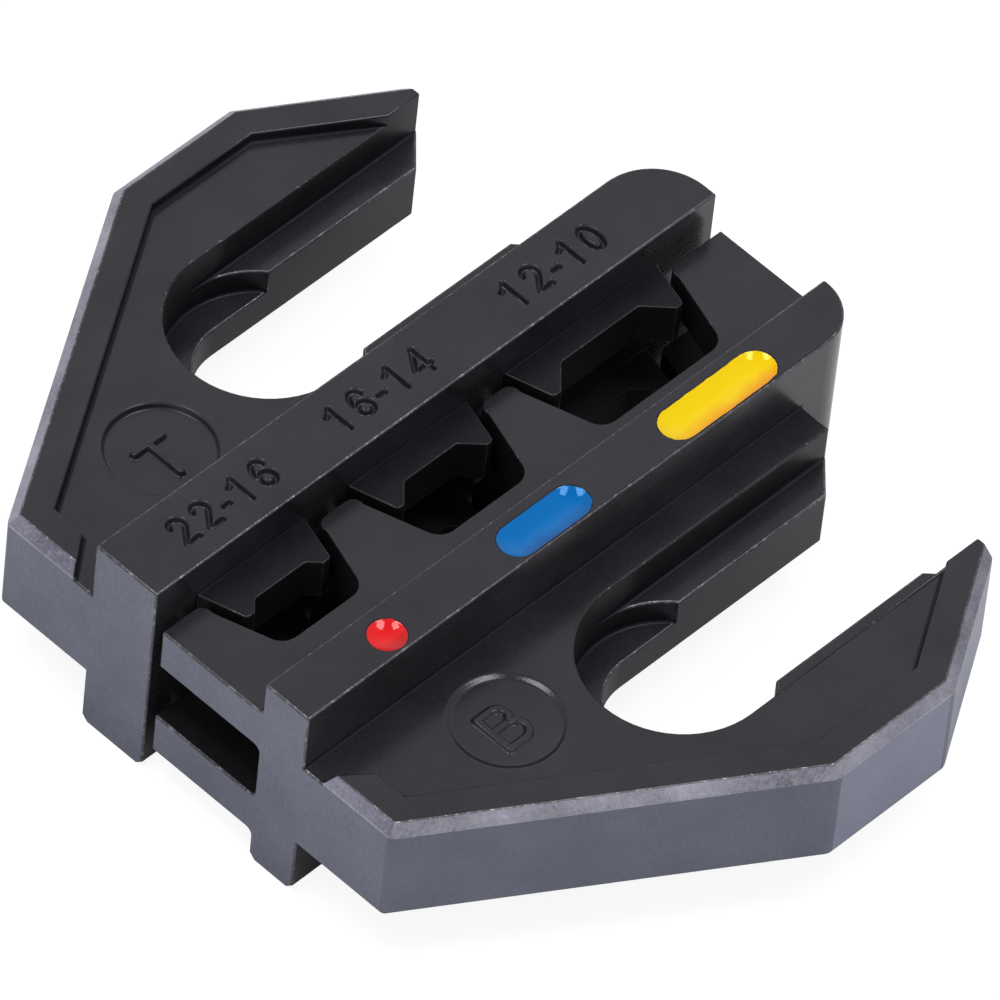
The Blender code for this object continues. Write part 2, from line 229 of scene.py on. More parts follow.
# A fill's upper face: a hollow that climbs to FILL_RIM at the recess's wall, then a lip on the
# steel's rounded rim
FILL_SHARES = (0.0, 0.15, 0.3, 0.45, 0.6, 0.72, 0.84, 0.93, 1.0)
FILL_RIM = -0.05
FILL_LIP = ((0.05, -0.020), (0.09, -0.013))
FILL_LIP_FOOT = 4 * FILL_RIM
FILL_BOTTOM = -0.5
FILL_ARC_STEPS = 24
FILL_STRAIGHT_STEP = 0.25
FILL_WOBBLE = 0.010
FILL_WOBBLE_RATE = 2.2      # patches of the noise in each millimetre
FILL_SEED = 3.0
FILL_WELD = 0.002
FILL_SHARP_ANGLE = math.radians(60)


def linear(hex_colour):
    """A colour written as sRGB hex, in linear light."""
    channels = [int(hex_colour[i:i + 2], 16) / 255 for i in (1, 3, 5)]
    return tuple(c / 12.92 if c <= 0.04045 else ((c + 0.055) / 1.055) ** 2.4 for c in channels)


def add_node(tree, kind, settings=None, links=None):
    """Add a node, set its properties and socket values, and link sockets to other nodes' outputs."""
    node = tree.nodes.new(kind)
    for key, value in (settings or {}).items():
        if isinstance(key, int) or key in node.inputs:
            node.inputs[key].default_value = value
        else:
            setattr(node, key, value)
    for key, source in (links or {}).items():
        tree.links.new(source, node.inputs[key])
    return node


def new_material(name):
    """A material with an empty node tree."""
    material = bpy.data.materials.new(name)
    material.use_nodes = True
    material.node_tree.nodes.clear()
    return material


def finish_material(material, shader):
    """Send a shader to the material's output."""
    add_node(material.node_tree, "ShaderNodeOutputMaterial", links={"Surface": shader.outputs[0]})
    return material


def ramp(tree, source, stops):
    """A colour ramp with (position, colour) stops."""
    node = add_node(tree, "ShaderNodeValToRGB", links={"Fac": source})
    elements = node.color_ramp.elements
    while len(elements) > len(stops):
        elements.remove(elements[-1])
    while len(elements) < len(stops):
        elements.new(1.0)
    for element, (position, colour) in zip(elements, stops):
        element.position = position
        element.color = (*colour, 1.0)
    return node


def grey(value):
    """A neutral colour."""
    return (value, value, value)


def steel_material(name, dark, light, metallic, roughness, gloss=0.5, tint="#ffffff", wear=0.0,
                   lay=None, mottle=0.4):
    """Blackened steel, from a dark and a light tone of its oxide.

    The shot-blasted casting under the oxide has a grain of about 0.08 mm, drawn at 0.16 mm so that
    it shows. mottle is how strongly it shades the tone, and lay stretches it into the fine lines of
    grinding. wear, from 0 to 1, lets bare steel show in small bright patches, as on edges that rub
    in the tool and in its box.
    """
    material = new_material(name)
    tree = material.node_tree
    place = add_node(tree, "ShaderNodeTexCoord").outputs["Object"]
    cloud = add_node(tree, "ShaderNodeTexNoise",
                     {"Scale": 1 / (CLOUD_SIZE * MM), "Detail": 4.0, "Roughness": 0.6},
                     {"Vector": place})
    tone = ramp(tree, cloud.outputs["Fac"],
                [(CLOUD_STOPS[0], linear(dark)), (CLOUD_STOPS[1], linear(light))])
    along = add_node(tree, "ShaderNodeMapping", {"Scale": lay or (1.0, 1.0, 1.0)}, {"Vector": place})
    grain = add_node(tree, "ShaderNodeTexNoise",
                     {"Scale": 1 / (GRAIN_SIZE * MM), "Detail": 3.0, "Roughness": 0.65},
                     {"Vector": along.outputs[0]}).outputs["Fac"]
    shade = add_node(tree, "ShaderNodeMix", {"data_type": "RGBA", "blend_type": "OVERLAY", 0: mottle},
                     {6: tone.outputs["Color"], 7: grain})
    sheen = add_node(tree, "ShaderNodeMapRange",
                     {"To Min": roughness - SMOOTHER, "To Max": roughness + ROUGHER}, {"Value": grain})
    bump = add_node(tree, "ShaderNodeBump", {"Strength": GRAIN_BUMP, "Distance": GRAIN_HEIGHT * MM},
                    {"Height": grain})
    oxide = add_node(tree, "ShaderNodeBsdfPrincipled",
                     {"Metallic": metallic, "Specular IOR Level": gloss,
                      "Specular Tint": (*linear(tint), 1.0)},
                     {"Base Color": shade.outputs[2], "Roughness": sheen.outputs[0],
                      "Normal": bump.outputs[0]})
    if wear <= 0:
        return finish_material(material, oxide)
    patches = add_node(tree, "ShaderNodeTexNoise",
                       {"Scale": 1 / (BARE_SIZE * MM), "Detail": 5.0, "Roughness": 0.7},
                       {"Vector": place})
    bare_share = ramp(tree, patches.outputs["Fac"],
                      [(BARE_START[0] - BARE_START[1] * wear, grey(0.0)),
                       (BARE_FULL[0] - BARE_FULL[1] * wear, grey(1.0))])
    bare = add_node(tree, "ShaderNodeBsdfPrincipled",
                    {"Base Color": (*linear("#9c9a9e"), 1.0), "Metallic": 1.0,
                     "Roughness": BARE_ROUGHNESS},
                    {"Normal": bump.outputs[0]})
    worn = add_node(tree, "ShaderNodeMixShader", None,
                    {0: bare_share.outputs["Color"], 1: oxide.outputs[0], 2: bare.outputs[0]})
    return finish_material(material, worn)


def enamel_material(name, colour, deep, gloss):
    """Stove enamel, flowed in and baked: deeper in colour along one side, under a tinted gloss."""
    material = new_material(name)
    tree = material.node_tree
    coordinates = add_node(tree, "ShaderNodeTexCoord")
    place = coordinates.outputs["Object"]
    across = add_node(tree, "ShaderNodeSeparateXYZ",
                      links={"Vector": coordinates.outputs["Generated"]})
    cloud = add_node(tree, "ShaderNodeTexNoise",
                     {"Scale": 1 / (ENAMEL_CLOUD_SIZE * MM), "Detail": 2.0}, {"Vector": place})
    drift = add_node(tree, "ShaderNodeMath", {"operation": "MULTIPLY_ADD", 1: ENAMEL_DRIFT},
                     {0: cloud.outputs["Fac"], 2: across.outputs["Y"]})
    tint = ramp(tree, drift.outputs[0],
                [(ENAMEL_STOPS[0], linear(deep)), (ENAMEL_STOPS[1], linear(colour))])
    ripple = add_node(tree, "ShaderNodeTexNoise", {"Scale": 1 / (RIPPLE_SIZE * MM), "Detail": 1.0},
                      {"Vector": place})
    bump = add_node(tree, "ShaderNodeBump", {"Strength": RIPPLE_BUMP, "Distance": RIPPLE_HEIGHT * MM},
                    {"Height": ripple.outputs["Fac"]})
    shader = add_node(tree, "ShaderNodeBsdfPrincipled",
                      {"Roughness": ENAMEL_ROUGHNESS, "Specular IOR Level": 0.5,
                       "Specular Tint": (*linear(gloss), 1.0)},
                      {"Base Color": tint.outputs["Color"], "Normal": bump.outputs[0]})
    return finish_material(material, shader)


def object_from(shape, name, materials=()):
    """A scene object that holds a bmesh."""
    mesh = bpy.data.meshes.new(name)
    bmesh.ops.recalc_face_normals(shape, faces=shape.faces)
    shape.to_mesh(mesh)
    shape.free()
    for material in materials:
        mesh.materials.append(material)
    thing = bpy.data.objects.new(name, mesh)
    bpy.context.scene.collection.objects.link(thing)
    return thing


def cut_away(solid, other):
    """Cut one solid from another, and keep the result as a mesh."""
    step = solid.modifiers.new("cut", "BOOLEAN")
    step.operation = "DIFFERENCE"
    step.object = other
    apply_modifiers(solid)
    bpy.data.objects.remove(other, do_unlink=True)


def edge_angle(edge):
    """The turn between an edge's two faces: positive where the solid is convex."""
    if len(edge.link_faces) != 2:
        return 0.0
    return edge.calc_face_angle_signed(0.0)


def rounding_of(edge, side, exposed):
    """How far an edge's rounding reaches on each side, in millimetres, or 0 for a soft edge."""
    turn = abs(edge_angle(edge))
    first, last = (vertex.co for vertex in edge.verts)
    middle = (first + last) / (2 * MM)
    upright = abs(first.z - last.z) > UPRIGHT_HEIGHT * MM
    if upright and turn > CORNER_ANGLE and side * middle.y > WING_SIDE_Y:
        return WIDEST_ROUNDING
    if turn <= SHARP_ANGLE:
        return 0.0
    if edge_angle(edge) < 0 and side * middle.y > WING_SIDE_Y and not upright:
        return FILLET
    if turn <= STEEP_ANGLE:
        return CHAMFER_ROUNDING
    inside_jaws = (abs(middle.y) < NEST_OUT and middle.z < PLATE_TOP_Z + EDGE_MARGIN
                   and middle.x > NEAR_END / MM + EDGE_MARGIN)
    return NEST_ROUNDING if inside_jaws else exposed


def rounding_finish(edge, reach):
    """The finish of an edge's rounding: bare where it rubs, and like its surroundings elsewhere."""
    middle = (edge.verts[0].co + edge.verts[1].co) / 2
    if reach == WIDEST_ROUNDING:
        return SIDE_FINISH
    if edge_angle(edge) < 0:
        return SLOT
    if abs(middle.y / MM - MARK_LINE_Y) < MARK_REACH and abs(middle.x) < MARKS_END * MM:
        return SLOT
    on_wing = abs(middle.y) > WING_SIDE_Y * MM
    rim_foot = (RIM_TOP_Z - CHAMFER_FOOT_DROP) * MM
    if on_wing and rim_foot < middle.z < (RIM_TOP_Z + EDGE_MARGIN) * MM:
        if reach != CHAMFER_ROUNDING:
            return OXIDE
        return EDGE if middle.z > (RIM_TOP_Z - EDGE_MARGIN) * MM else CHAMFER
    if on_wing and middle.x > NEAR_END + END_CLEAR * MM and middle.z > SLOT_EDGE_Z * MM:
        return SOFT_EDGE
    if reach == NEST_ROUNDING:
        # Edges deep in the jaws take the nearly black jaw steel, which is painted shade
        return JAW if middle.z < (PLATE_TOP_Z - JAW_SHADE_DROP) * MM else SOFT_EDGE
    return EDGE


def round_edges(thing, side, exposed):
    """Round every sharp edge, and give the roundings their finish."""
    shape = bmesh.new()
    shape.from_mesh(thing.data)
    weights = shape.edges.layers.float.new("bevel_weight_edge")
    samples = []
    for edge in shape.edges:
        reach = rounding_of(edge, side, exposed)
        edge[weights] = reach / WIDEST_ROUNDING
        if reach <= 0:
            continue
        first, last = (vertex.co.copy() for vertex in edge.verts)
        finish = rounding_finish(edge, reach)
        count = max(2, int((last - first).length / (FINISH_STEP * MM)))
        samples += [(first.lerp(last, (i + 0.5) / count), finish) for i in range(count)]
    tree = kdtree.KDTree(len(samples))
    for index, (point, _) in enumerate(samples):
        tree.insert(point, index)
    tree.balance()
    shape.to_mesh(thing.data)
    shape.free()

    step = thing.modifiers.new("rounding", "BEVEL")
    step.width = WIDEST_ROUNDING * MM
    step.segments = ROUNDING_STEPS
    step.limit_method = "WEIGHT"
    step.use_clamp_overlap = False
    step.material = MARKED
    apply_modifiers(thing)
    for face in thing.data.polygons:
        if face.material_index == MARKED:
            _, index, _ = tree.find(face.center)
            face.material_index = samples[index][1]


def apply_modifiers(thing):
    """Keep the result of a thing's modifiers as its mesh."""
    bpy.context.view_layer.update()
    evaluated = thing.evaluated_get(bpy.context.evaluated_depsgraph_get())
    result = bpy.data.meshes.new_from_object(evaluated)
    thing.modifiers.clear()
    thing.data = result


def flatten_flats(thing):
    """Keep the flats flat beside their smooth roundings."""
    step = thing.modifiers.new("flats", "WEIGHTED_NORMAL")
    step.keep_sharp = True
    step.weight = FLATNESS
    apply_modifiers(thing)


def sweep_points(centre, radii, start, end, steps):
    """Points on part of an ellipse, with the angles in degrees."""
    points = []
    for step in range(steps + 1):
        angle = math.radians(start + (end - start) * step / steps)
        points.append((centre[0] + radii[0] * math.cos(angle), centre[1] + radii[1] * math.sin(angle)))
    return points


def eased(points):
    """A smoother path through the same ends, by cutting the corners."""
    for _ in range(EASING_ROUNDS):
        cut = [points[0]]
        for first, second in zip(points, points[1:]):
            cut.append((0.75 * first[0] + 0.25 * second[0], 0.75 * first[1] + 0.25 * second[1]))
            cut.append((0.25 * first[0] + 0.75 * second[0], 0.25 * first[1] + 0.75 * second[1]))
        cut.append(points[-1])
        points = cut
    return points


def strokes():
    """The centre lines of each glyph as (path, closed), with the base line at 0."""
    one_flag = eased([(0.62, 1.76), (0.42, 1.52), (0.16, 1.40)])
    two_bow = sweep_points((0.60, 1.36), (0.43, 0.43), 170, -28, 14)
    six_hook = eased([(0.19, 0.66), (0.17, 1.05), (0.27, 1.50),
                      (0.58, 1.82), (0.93, 1.78), (1.06, 1.46)])
    upper_bow = sweep_points((1.20, 2.05), (0.56, 0.56), 90, -90, 12)
    lower_bow = sweep_points((1.30, 0.84), (0.65, 0.65), 90, -90, 12)
    return {
        "1": [([(0.66, 0.14), (0.66, 1.80)], False), (one_flag, False)],
        "2": [(two_bow + eased([(0.93, 1.08), (0.55, 0.62), (0.22, 0.20)]), False),
              ([(0.17, 0.165), (1.08, 0.165)], False)],
        "4": [([(1.02, 0.14), (1.02, 1.80)], False), ([(1.00, 1.76), (0.17, 0.58)], False),
              ([(0.17, 0.56), (1.24, 0.56)], False)],
        "6": [(sweep_points((0.62, 0.60), (0.435, 0.435), 0, 360, 28)[:-1], True), (six_hook, False)],
        "0": [(sweep_points((0.61, 0.975), (0.43, 0.81), 0, 360, 32)[:-1], True)],
        "-": [([(0.20, 0.69), (0.62, 0.69)], False)],
        "T": [([(0.20, 2.60), (2.18, 2.60)], False), ([(1.19, 0.20), (1.19, 2.60)], False)],
        "B": [([(0.21, 0.19), (0.21, 2.61)], False),
              ([(0.21, 2.61)] + upper_bow + [(0.21, 1.49)], False),
              ([(0.21, 1.49)] + lower_bow + [(0.21, 0.19)], False)],
    }


def distance_to_strokes(points, glyphs):
    """Each point's distance to the nearest centre line, for glyphs given as (glyph, left, base)."""
    nearest = np.full(len(points), FAR_AWAY)
    lines = strokes()
    for glyph, left, base in glyphs:
        for path, closed in lines[glyph]:
            stops = [*path, path[0]] if closed else path
            for first, last in zip(stops, stops[1:]):
                start = np.array([first[0] + left, first[1] + base])
                along = np.array([last[0] - first[0], last[1] - first[1]])
                length = max(float(along @ along), NO_LENGTH)
                share = np.clip(((points - start) @ along) / length, 0.0, 1.0)
                gap = np.linalg.norm(points - start - share[:, None] * along, axis=1)
                nearest = np.minimum(nearest, gap)
    return nearest


def eased_step(value, low, high):
    """A smooth step from 0 at low to 1 at high."""
    share = np.clip((value - low) / (high - low), 0.0, 1.0)
    return share * share * (3.0 - 2.0 * share)


def groove(distance):
    """The height of a stamped groove, by the distance from its centre line."""
    return -FIGURE_DEPTH * (1.0 - eased_step(distance, FIGURE_FLOOR_HALF, FIGURE_HALF_STROKE))


def unevenness(points, size, seed):
    """A slow noise from about -1 to 1 over points in millimetres."""
    return np.array([noise.noise(Vector((x / size, y / size, seed))) for x, y in points])


def strip_patch(low, high):
    """One number stamped into the top of the bar, as rows of points over a rectangle."""
    columns = round((high[0] - low[0]) / STAMP_GRID) + 1
    rows = round((high[1] - low[1]) / STAMP_GRID) + 1
    across, up = np.meshgrid(np.linspace(low[0], high[0], columns),
                             np.linspace(low[1], high[1], rows))
    points = np.column_stack([across.ravel(), up.ravel()])
    glyphs = [(glyph, NEAR_END / MM + left, BAR_INNER_Y + FIGURE_BASE) for glyph, left in FIGURES]
    share, size, seed = FIGURE_UNEVEN
    worn = 1.0 + share * unevenness(points, size, seed)
    heights = groove(distance_to_strokes(points, glyphs)) * worn
    heights = heights.reshape(rows, columns)
    for border in (heights[0], heights[-1], heights[:, 0], heights[:, -1]):
        border[:] = 0.0
    return points.reshape(rows, columns, 2), heights + DIE_TOP / MM, False


def sinking_patch(node):
    """A die's round sinking with its raised letter, as rings of points."""
    middle = (NEAR_END / MM + SINKING_CENTRE[node][0], INNER_Y[node] + SINKING_CENTRE[node][1])
    rings = round(SINKING_PATCH / (RING_SPACING * STAMP_GRID))
    radii = np.linspace(HUB_RADIUS, SINKING_PATCH, rings)
    angles = np.arange(STAMP_RAYS) * 2 * math.pi / STAMP_RAYS
    radius, angle = np.meshgrid(radii, angles, indexing="ij")
    points = np.column_stack([(middle[0] + radius * np.cos(angle)).ravel(),
                              (middle[1] + radius * np.sin(angle)).ravel()])
    origin = (NEAR_END / MM + LETTER_ORIGIN[node][0], INNER_Y[node] + LETTER_ORIGIN[node][1])
    distance = distance_to_strokes(points, [(LETTER[node], *origin)])
    rise = 1.0 - eased_step(distance, LETTER_HALF_STROKE - LETTER_SLOPE / 2,
                            LETTER_HALF_STROKE + LETTER_SLOPE / 2)
    share, size, seed = LETTER_UNEVEN
    worn = 1.0 + share * unevenness(points, size, seed)
    flat = radius.ravel()
    reach = SINKING_WALL[node] / 2
    sunk = -SINKING_DEPTH[node] * (1.0 - eased_step(flat, SINKING_RADIUS - reach,
                                                    SINKING_RADIUS + reach))
    lip = SINKING_LIP[node] * np.exp(-(((flat - SINKING_RADIUS - reach - LIP_OFFSET) / LIP_WIDTH) ** 2))
    heights = (sunk + lip + LETTER_RELIEF[node] * rise * worn).reshape(rings, STAMP_RAYS)
    heights[-1] = 0.0
    return points.reshape(rings, STAMP_RAYS, 2), heights + WING_FLOOR_Z, True


def patch_outline(points, ring):
    """The border of a patch, in order."""
    if ring:
        return [tuple(point) for point in points[-1]]
    first, last = points[0][0], points[-1][-1]
    return [(first[0], first[1]), (last[0], first[1]), (last[0], last[1]), (first[0], last[1])]


def add_patch(shape, points, heights, ring):
    """Add a patch's faces to a mesh, which has a hole of the same outline.

    The faces between a round patch's rings wind downwards, against the steel around them.
    """
    rows, columns = heights.shape
    grid = [[shape.verts.new((points[row][column][0] * MM, points[row][column][1] * MM,
                              heights[row][column] * MM)) for column in range(columns)]
            for row in range(rows)]
    reach = columns if ring else columns - 1
    for row in range(rows - 1):
        for column in range(reach):
            following = (column + 1) % columns
            face = shape.faces.new((grid[row][column], grid[row][following],
                                    grid[row + 1][following], grid[row + 1][column]))
            face.smooth = True
    if ring:
        face = shape.faces.new(grid[0])
        face.smooth = True


def stamp(die, patches):
    """Cut each patch's outline out of a die, and set the stamped surface in its place."""
    for points, heights, ring in patches:
        outline = patch_outline(points, ring)
        level = heights[-1][0]
        shape = bmesh.new()
        low = [shape.verts.new((x * MM, y * MM, (level - STAMP_CUT) * MM)) for x, y in outline]
        high = [shape.verts.new((x * MM, y * MM, (level + STAMP_CUT) * MM)) for x, y in outline]
        shape.faces.new(low)
        shape.faces.new(high)
        for index in range(len(outline)):
            following = (index + 1) % len(outline)
            shape.faces.new((low[index], low[following], high[following], high[index]))
        for face in shape.faces:
            face.material_index = MARKED
        cut_away(die, object_from(shape, "stamp_outline", die.data.materials))
    die.data.polygons.foreach_set("use_smooth", [True] * len(die.data.polygons))
    die.data.set_sharp_from_angle(angle=SMOOTH_ANGLE)
    shape = bmesh.new()
    shape.from_mesh(die.data)
    pocket = [face for face in shape.faces if face.material_index == MARKED]
    bmesh.ops.delete(shape, geom=pocket, context="FACES_ONLY")
    loose = [edge for edge in shape.edges if not edge.link_faces]
    bmesh.ops.delete(shape, geom=loose, context="EDGES")
    for points, heights, ring in patches:
        add_patch(shape, points, heights, ring)
    shape.normal_update()
    shape.to_mesh(die.data)
    shape.free()


def finish_of(centre, normal, side):
    """The finish of a face, by where it lies and which way it looks."""
    out = side * centre.y / MM
    upright = abs(normal.z) < LEVEL_NORMAL
    if normal.x < -END_NORMAL and abs(centre.x - NEAR_END) < FACE_MARGIN * MM:
        return END
    if upright and out > WING_SIDE_Y:
        if not faces_outward(centre, normal, side):
            return SLOT
        # Outer sides that do not look towards the near end take a lighter copy of the side steel, which
        # is painted light
        return SIDE_FINISH if normal.x < -SLOPE_NORMAL else PAINTED_LIGHT_SIDE
    if RIB_INNER_Y + FACE_MARGIN < centre.y / MM < BAR_INNER_Y - FACE_MARGIN:
        # Faces deep in the jaws take the nearly black jaw steel, which is painted shade
        if centre.z < (PLATE_TOP_Z - FACE_MARGIN) * MM:
            return JAW
        # The top die's tooth tops, deep in the jaws' recess, take the dull, dark slot steel: painted
        # shade
        if side > 0:
            return SLOT
    chamfered = CHAMFER_RISE[0] < normal.z < CHAMFER_RISE[1]
    if chamfered and out > WING_SIDE_Y and centre.z > (RIM_TOP_Z - CHAMFER_DROP) * MM:
        # Chamfers that look towards the near end take a darker copy of the chamfer steel, which is
        # painted shade
        return END_CHAMFER if normal.x < -END_CHAMFER_NORMAL else CHAMFER
    if upright and abs(normal.y) > WALL_NORMAL and abs(centre.y) > WALL_MIN_Y * MM:
        return WALL
    return OXIDE


def faces_outward(centre, normal, side):
    """Whether a wing's upright face is part of its outer edge and not of its slot or its recess."""
    inside = Vector((0.0, side * WING_MIDDLE_Y * MM, 0.0))
    return (centre - inside).dot(normal) > 0 and centre.z < (RIM_TOP_Z - OUTER_SIDE_DROP) * MM


def dressed_die(node, name, materials, edge_radius):
    """A copy of a die's solid with rounded edges and its finishes sorted by place."""
    shape = bmesh.new()
    shape.from_mesh(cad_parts[node].data)
    bmesh.ops.remove_doubles(shape, verts=shape.verts, dist=WELD * MM)
    bmesh.ops.dissolve_limit(shape, angle_limit=FLAT_ANGLE, verts=shape.verts,
                             edges=shape.edges, use_dissolve_boundaries=False)
    bmesh.ops.dissolve_degenerate(shape, dist=SHORTEST_EDGE * MM, edges=shape.edges)
    bmesh.ops.recalc_face_normals(shape, faces=shape.faces)
    for face in shape.faces:
        face.material_index = finish_of(face.calc_center_median(), face.normal, SIDE[node])
    die = object_from(shape, name, [*materials, materials[OXIDE]])
    round_edges(die, SIDE[node], edge_radius)
    return die


def stadium(length, width):
    """Points on the middle line of a round-ended outline, each with the way out to the outline."""
    half_straight = (length - width) / 2
    sides = round(2 * half_straight / FILL_STRAIGHT_STEP)
    ring = []
    for end in (1, -1):
        for step in range(FILL_ARC_STEPS + 1):
            angle = math.radians(-90 * end) + math.pi * step / FILL_ARC_STEPS
            ring.append((end * half_straight, math.cos(angle), math.sin(angle)))
        for step in range(1, sides):
            ring.append((end * half_straight * (1 - 2 * step / sides), 0.0, float(end)))
    return ring


def enamel_fill(name, centre_x, length, width, sag, material):
    """A fill with a hollow, glossy upper face and a thin, uneven lip that laps the steel."""
    half = width / 2
    profile = [(half * share, FILL_RIM - sag * (1.0 - share ** 2)) for share in FILL_SHARES]
    profile += [(half + out, height) for out, height in FILL_LIP]
    profile += [(half, FILL_LIP_FOOT), (half, FILL_BOTTOM)]
    shape = bmesh.new()
    rows = []
    for reach, height in profile:
        row = []
        for middle, across, up in stadium(length, width):
            x = NEAR_END / MM + centre_x + middle + across * reach
            y = MARK_LINE_Y + up * reach
            spot = Vector((FILL_WOBBLE_RATE * x, FILL_WOBBLE_RATE * y, FILL_SEED))
            wobble = FILL_WOBBLE * noise.noise(spot)
            row.append(shape.verts.new((x * MM, y * MM, (DIE_TOP / MM + height + wobble) * MM)))
        rows.append(row)
    for inner, outer in zip(rows, rows[1:]):
        for index in range(len(inner)):
            following = (index + 1) % len(inner)
            shape.faces.new((inner[index], inner[following], outer[following], outer[index]))
    shape.faces.new(rows[-1])
    bmesh.ops.remove_doubles(shape, verts=shape.verts, dist=FILL_WELD * MM)
    for face in shape.faces:
        face.smooth = True
    fill = object_from(shape, name, [material])
    fill.data.set_sharp_from_angle(angle=FILL_SHARP_ANGLE)
    return fill


class DieFinishSettings(bpy.types.PropertyGroup):
    """Edges and sheen of the blackened steel."""

    edge_radius: FloatProperty(
        name="Edge Radius", description="Rounding of the worn edges, in millimetres",
        default=0.12, min=0.02, max=0.3)
    oxide_roughness: FloatProperty(
        name="Oxide Roughness", description="Sheen of the oxide on the castings",
        default=0.20, min=0.05, max=1.0, subtype="FACTOR")
    end_roughness: FloatProperty(
        name="Ground End Roughness", description="Sheen of the ground ends and sides",
        default=0.42, min=0.05, max=1.0, subtype="FACTOR")


class EnamelSettings(bpy.types.PropertyGroup):
    """Shape of the enamel fills."""

    sag: FloatProperty(
        name="Sag", description="How far the middle of a fill lies below its edge, in millimetres",
        default=0.27, min=0.0, max=0.4)


class StageSettings(bpy.types.PropertyGroup):
    """Light, floor and camera."""

    sky: FloatProperty(
        name="Sky", description="Strength of the white surroundings", default=0.70, min=0.0, max=2.0)
    softbox: FloatProperty(
        name="Softbox", description="Power of each overhead softbox", default=0.80, min=0.0,
        max=100.0, unit="POWER")
    lens: FloatProperty(
        name="Lens", description="Focal length in millimetres on a 36 mm sensor",
        default=627.64, min=50.0, max=2000.0)


def die_materials(settings):
    """The finishes of a die, in the order of its material slots."""
    names = ("black_oxide_steel", "worn_edge_steel", "ground_end_steel", "rumbled_side_steel",
             "side_steel_painted_light", "worn_chamfer_steel", "end_chamfer_steel_worn_and_painted_shade", "milled_wall_steel",
             "cast_slot_steel_and_painted_shade", "jaw_steel_painted_shade", "smooth_edge_steel")
    if names[0] in bpy.data.materials:
        return [bpy.data.materials[name] for name in names]
    oxide = settings.oxide_roughness
    end = settings.end_roughness
    cool = "#dcdee9"
    return [
        # Smooth black top faces with a cool sheen, which mirror the walls beside them
        steel_material(names[OXIDE], "#1b1a1d", "#242226", 0.0, oxide, gloss=0.56, tint=cool),
        # Rubbed edges: thin oxide with bare sparks
        steel_material(names[EDGE], "#434246", "#5c5a60", 0.75, end, wear=0.42),
        # Near ends, ground flat before blackening: greyer and cooler
        steel_material(names[END], "#666978", "#717484", 0.8, end, lay=(1.0, 1.0, 0.3), mottle=0.35),
        # Sloping outer sides of the wings, tumbled: a soft steel grey under a thin oxide
        steel_material(names[SIDE_FINISH], "#606371", "#686b79", 0.8, end, mottle=0.32),
        # Outer sides that do not look towards the near end: a lighter copy of the sloping sides' steel,
        # which is painted light
        steel_material(names[PAINTED_LIGHT_SIDE], "#787c8f", "#818598", 0.8, end, mottle=0.32),
        # Chamfers, rubbed pale
        steel_material(names[CHAMFER], "#7a7989", "#b2b1c3", 0.95, end, wear=0.66, mottle=0.6),
        # Chamfers that look towards the near end: rubbed less, with fewer bare patches, and darker in
        # tone than the other chamfers, which is painted shade
        steel_material(names[END_CHAMFER], "#69687a", "#9897a8", 0.95, end, wear=0.40, mottle=0.6),
        # Long walls of bar and rib, milled along their length
        steel_material(names[WALL], "#19181b", "#2b2a2e", 0.0, oxide + 0.05, tint=cool,
                       lay=(0.04, 1.0, 1.0)),
        # Walls of the slots and recesses, left as cast: dull and dark. The top die's tooth tops take it
        # too, as painted shade
        steel_material(names[SLOT], "#111012", "#18171a", 0.0, oxide + 0.16, gloss=0.37, tint="#a9aecb"),
        # Inside the jaws: matt and nearly black, which is painted shade for the deep jaws
        steel_material(names[JAW], "#121214", "#19191b", 0.0, oxide + 0.3, gloss=0.16, tint=cool),
        # Smooth edges of slots, recesses and nests: oxide with a rare spark
        steel_material(names[SOFT_EDGE], "#1b1a1d", "#262428", 0.2, oxide + 0.05, wear=0.10),
    ]


class DIESET_OT_top_die(bpy.types.Operator):
    """Build the top die: engraved wire sizes, rounded edges and the raised letter in its sinking"""

    bl_idname = "dieset.top_die"
    bl_label = "Top Die"

    def execute(self, context):
        """Dress the top die and let it stand for its solid."""
        settings = context.scene.die_finish
        materials = die_materials(settings)
        die = dressed_die("top_die", "top_die_dressed", materials, settings.edge_radius)
        strips = [((NEAR_END / MM + start, BAR_INNER_Y + FIGURE_ROWS[0]),
                   (NEAR_END / MM + end, BAR_INNER_Y + FIGURE_ROWS[1])) for start, end in FIGURE_STRIPS]
        stamp(die, [strip_patch(low, high) for low, high in strips] + [sinking_patch("top_die")])
        die.data.materials.pop()
        flatten_flats(die)
        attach(die, "moving_die")
        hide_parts("top_die")
        return {"FINISHED"}


class DIESET_OT_bottom_die(bpy.types.Operator):
    """Build the bottom die: rounded edges and the raised letter in its sinking"""

    bl_idname = "dieset.bottom_die"
    bl_label = "Bottom Die"

    def execute(self, context):
        """Dress the bottom die and let it stand for its solid."""
        settings = context.scene.die_finish
        materials = die_materials(settings)
        die = dressed_die("bottom_die", "bottom_die_dressed", materials, settings.edge_radius)
        stamp(die, [sinking_patch("bottom_die")])
        die.data.materials.pop()
        flatten_flats(die)
        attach(die, "fixed_die")
        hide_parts("bottom_die")
        return {"FINISHED"}


